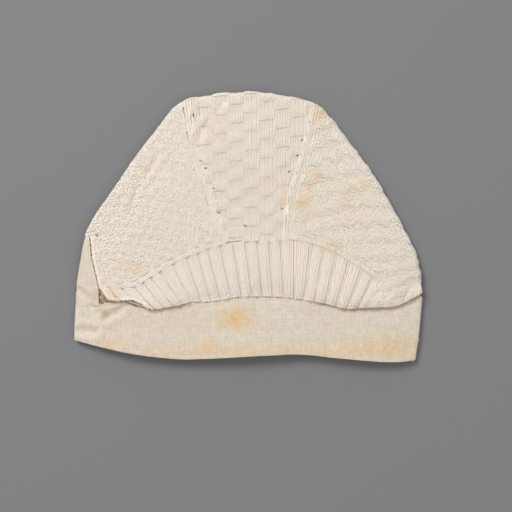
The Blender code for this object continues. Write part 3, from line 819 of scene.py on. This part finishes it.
band = smooth_copy("band_cloth", "linen_band", 3, 2, linen)
points, normals = corners_of(band.data)
x, y = points[:, 0], points[:, 1]
wave = 0.35 * lumps(x, y, 22, 5.2) + 0.18 * lumps(x, y * 2.2, 7, 1.7)
wave += creased(x, y) - 1.2 * (x < -108) * (y > -60)
for line in zip(LIP, LIP[1:]):
    wave += 0.5 * np.exp(-(from_line(x, y + 1.2, line[0] + line[1]) / 1.5) ** 2)
points[:, 2] += wave * np.clip(points[:, 2] / 4, 0, 1)
reshaped(band.data, points)
mark(band.data)
print("band_cloth:", len(band.data.vertices), "points")

# %% [markdown]
# ## Flap and pocket
# At the left the linen runs on up the side of the cap as a narrow flap. Its edge curls up
# beside the knitting, and below it a small pocket stands open; its inside is painted in shade brown.

# %% Flap and pocket


def surface(name, corners, material):
    """A sheet that faces up, from a grid of points in millimetres, one row after the other."""
    rows, columns = corners.shape[:2]
    bm = bmesh.new()
    bmesh.ops.create_grid(bm, x_segments=columns - 1, y_segments=rows - 1, size=1.0)
    for vert, spot in zip(bm.verts, corners.reshape(-1, 3) * MM):
        vert.co = spot
    bm.normal_update()
    if sum(face.normal.z for face in bm.faces) < 0:
        bmesh.ops.reverse_faces(bm, faces=bm.faces)
    mesh = bpy.data.meshes.new(name)
    bm.to_mesh(mesh)
    bm.free()
    mesh.shade_smooth()
    mesh.materials.append(material)
    mark(mesh)
    piece = bpy.data.objects.new(name, mesh)
    bpy.context.scene.collection.objects.link(piece)
    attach(piece, "root")
    return piece


whole_height = np.fmax(np.where(np.isfinite(crown_height), crown_height, -1),
                       np.where(np.isfinite(band_height), band_height, -1))
whole_height = np.where(whole_height > 0, whole_height, np.nan)
soft_height = blurred(np.where(beyond < -2.0, whole_height, np.nan), 2.6)
soft_height = np.where(np.isfinite(soft_height), soft_height, blurred(whole_height, 8.0))
soft_height = np.where(np.isfinite(soft_height), soft_height, 5.0)

order = np.array(sorted(FLAP_EDGE, key=lambda p: p[1]))
levels = np.linspace(-6.5, -61.5, 81)
share = np.linspace(0, 1, 41)[None, :]
right = np.interp(levels, order[:, 1], order[:, 0])
right = np.where(levels < -57.9, -111.0 + (-57.9 - levels) * 3.0, right)[:, None]
left = np.interp(levels, edge[::-1][:200, 1], edge[::-1][:200, 0])[:, None]
x = left + (right - left) * share + 0 * levels[:, None]
y = levels[:, None] + 0 * x
inward = x - left                                     # millimetres from the side edge
drop = FOLD_RADIUS * (1 - np.sqrt(np.clip(1 - (1 - np.clip(inward / FOLD_RADIUS, 0, 1)) ** 2, 0, 1)))
curl = np.clip(1 - (-57.9 - y) / 1.5, 0, 1) * np.clip((y + 62) / 4, 0, 1)
z = sample(soft_height, np.maximum(x, left + 3), y) - drop + 0.35
z += 1.5 * curl * np.exp(-((right - x - 4.5) / 3.0) ** 2) * np.clip((-6 - y) / 14, 0, 1)
z += 0.7 * creased(x, y) * np.clip((-40 - y) / 6, 0, 1) + 0.45 * lumps(x, y, 7, 2.6) - 0.9 * np.clip((-57.5 - y) / 4, 0, 1)
flap = surface("flap", np.stack([x, y, z], axis=-1), linen)

split = max(range(len(POCKET)), key=lambda k: POCKET[k][0])
across = np.linspace(POCKET[0][0], POCKET[split][0], 45)
upper = np.interp(across, *np.array(POCKET[:split + 1]).T) + 0.8
lower = np.interp(across, *np.array(POCKET[:split - 1:-1]).T) - 1.3
share = np.linspace(0, 1, 9)[:, None]
x = across[None, :] + 0 * share
y = upper * (1 - share) + lower * share
inner = blurred(whole_height, 1.0)
inner = np.where(np.isfinite(inner), inner, 5.0)
z = sample(inner, x, y) + 0.25 - 0.3 * np.sin(math.pi * share) - 0.8 * np.clip((x + 88) / 12, 0, 1) - 1.2 * share ** 6
# The inside of the pocket is painted in shade brown.
pocket = surface("pocket_inside", np.stack([x, y, z], axis=-1), pocket_painted_shade)
y = np.linspace(-7.5, -45, 60)[:, None] + 0 * np.linspace(0, 1, 5)[None, :]
x = spread(FLAP_EDGE, y) + np.linspace(-0.8, 1.9, 5)[None, :]
z = sample(inner, x, y) - 0.35
# The slit beside the flap is painted in the same shade brown.
slit = surface("tuck_inside", np.stack([x, y, z], axis=-1), pocket_painted_shade)
print("flap:", len(flap.data.polygons), "faces, pocket:", len(pocket.data.polygons), "faces")

# %% [markdown]
# ## Seam and loose ends
# The band is whipped to the knitting with small slanting stitches, which show along the middle
# of the seam. Three ends of thread stick out at the edge of the band.

# %% Seam and loose ends
SEAM = [(-38.6, -54.9), (-20.0, -53.6), (0.0, -51.6), (20.0, -51.8), (42.4, -54.6)]
LOOSE_ENDS = [(126.4, -84.6, 1.4, 0.5), (122.8, -99.2, 0.5, -1.3), (-47.6, -95.6, -1.2, -1.2)]
seam_x = np.linspace(-47, 50, 130)
down = np.linspace(0, 1, 12)[:, None]
seam_y = np.interp(seam_x, spoke_lines[:, 0], spoke_lines[:, 1])[None, :]
ends = np.clip(np.minimum(seam_x + 47, 50 - seam_x) / 8, 0, 1)[None, :]
x = seam_x[None, :] + 0 * down
y = seam_y + 0.5 * ends - (0.5 * ends + 3.6) * down
upper = sample(ground, x[:1], y[:1]) - 0.7
lower = sample(np.nan_to_num(band_height, nan=8.0), x[-1:], y[-1:]) - 0.05
z = upper + (lower - upper) * (3 * down ** 2 - 2 * down ** 3) - 0.5 * (1 - ends) * np.sin(math.pi * down)
z += 0.15 * lumps(x, y, 4, 6.6) * np.sin(math.pi * down)
seam_edge = surface("seam_edge", np.stack([x, y, z], axis=-1), linen)
seam_tree = BVHTree.FromPolygons([v.co.copy() for v in seam_edge.data.vertices],
                                 [list(f.vertices) for f in seam_edge.data.polygons])
bm = bmesh.new()
for x in np.arange(SEAM[0][0], SEAM[-1][0], 2.3):
    y = float(np.interp(x, *np.array(SEAM).T)) + rng.normal(0, 0.15)
    path = []
    for share, lift in ((-1, -0.1), (-0.4, 0.35), (0.4, 0.35), (1, -0.1)):
        px, py = x + 0.55 * share + rng.normal(0, 0.05), y + 1.0 * share
        spot = seam_tree.ray_cast(Vector((px * MM, py * MM, 0.1)), Vector((0, 0, -1)))[0]
        z = (spot.z / MM if spot else float(sample(ground, np.array([px]), np.array([py]))[0])) + lift
        path.append((px * MM, py * MM, z * MM))
    tube(bm, path, 0.3 * MM, 5)
for x, y, dx, dy in LOOSE_ENDS:
    z = 5.0
    tube(bm, [(x * MM, y * MM, z * MM), ((x + 0.4 * dx) * MM, (y + 0.2 * dy) * MM, (z + 0.5) * MM),
              ((x + dx) * MM, (y + dy) * MM, (z - 0.4) * MM), ((x + 1.5 * dx) * MM, (y + 1.7 * dy) * MM, (z - 1.5) * MM)],
         0.17 * MM, 5)
bmesh.ops.recalc_face_normals(bm, faces=bm.faces)
mesh = bpy.data.meshes.new("sewing_thread")
bm.to_mesh(mesh)
bm.free()
mesh.shade_smooth()
mesh.materials.append(cotton)
mark(mesh)
sewing = bpy.data.objects.new("sewing_thread", mesh)
bpy.context.scene.collection.objects.link(sewing)
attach(sewing, "root")

# Short dark tubes of painted shadow mark the needle holes along the seam.
bm = bmesh.new()
for x in np.arange(SEAM[0][0] - 1.2, SEAM[-1][0] + 2, 2.3):
    if rng.uniform() < 0.3:
        continue
    y = float(np.interp(x, *np.array(SEAM).T)) + rng.normal(-0.4, 0.3)
    spot = seam_tree.ray_cast(Vector((x * MM, y * MM, 0.1)), Vector((0, 0, -1)))[0]
    if spot is not None:
        length = rng.uniform(0.5, 1.3)
        ends = [spot + Vector((side * length * MM, rng.normal(0, 0.15) * MM, 0.02 * MM)) for side in (-0.5, 0.5)]
        tube(bm, ends, 0.2 * MM, 5)
bmesh.ops.recalc_face_normals(bm, faces=bm.faces)
mesh = bpy.data.meshes.new("needle_hole_shadows")
bm.to_mesh(mesh)
bm.free()
mesh.materials.append(shadow)
needle_hole_shade = bpy.data.objects.new("needle_hole_shadows", mesh)
bpy.context.scene.collection.objects.link(needle_hole_shade)
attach(needle_hole_shade, "root")

# %% [markdown]
# ## Floor, light and camera
# A plain pale floor, a wide soft light from the upper left and a weaker one opposite. The
# camera looks straight down, as in the photograph.

# %% Floor
bm = bmesh.new()
bmesh.ops.create_grid(bm, x_segments=1, y_segments=1, size=3.0)
mesh = bpy.data.meshes.new("floor")
bm.to_mesh(mesh)
bm.free()
paper, shader = finish("grey_paper", 1.0)
shader.inputs["Base Color"].default_value = linear("#717171")
mesh.materials.append(paper)
floor = bpy.data.objects.new("floor", mesh)
bpy.context.scene.collection.objects.link(floor)

# %% Light
MIDDLE = Vector((5.6 * MM, -21.6 * MM, 4 * MM))


def soft_light(name, place, size, power):
    """A square light that faces the cap."""
    light = bpy.data.lights.new(name, "AREA")
    light.shape, light.size, light.energy = "SQUARE", size, power
    lamp = bpy.data.objects.new(name, light)
    lamp.location = place
    lamp.rotation_euler = (MIDDLE - Vector(place)).to_track_quat("-Z", "Y").to_euler()
    bpy.context.scene.collection.objects.link(lamp)


soft_light("window_side", (-1.1, 1.35, 1.9), 1.1, 60)
soft_light("far_side", (1.5, -0.9, 2.2), 1.8, 16)
world = bpy.data.worlds.new("room")
world.use_nodes = True
world.node_tree.nodes["Background"].inputs["Color"].default_value = linear("#F4F6FA")
world.node_tree.nodes["Background"].inputs["Strength"].default_value = 0.66
bpy.context.scene.world = world

# %% Camera
view = bpy.data.cameras.new("view")
view.lens, view.sensor_width = 85, 36
camera = bpy.data.objects.new("view", view)
camera.location = MIDDLE + Vector((0, 0, 0.9067))
bpy.context.scene.collection.objects.link(camera)
bpy.context.scene.camera = camera
bpy.context.scene.view_settings.view_transform = "Standard"
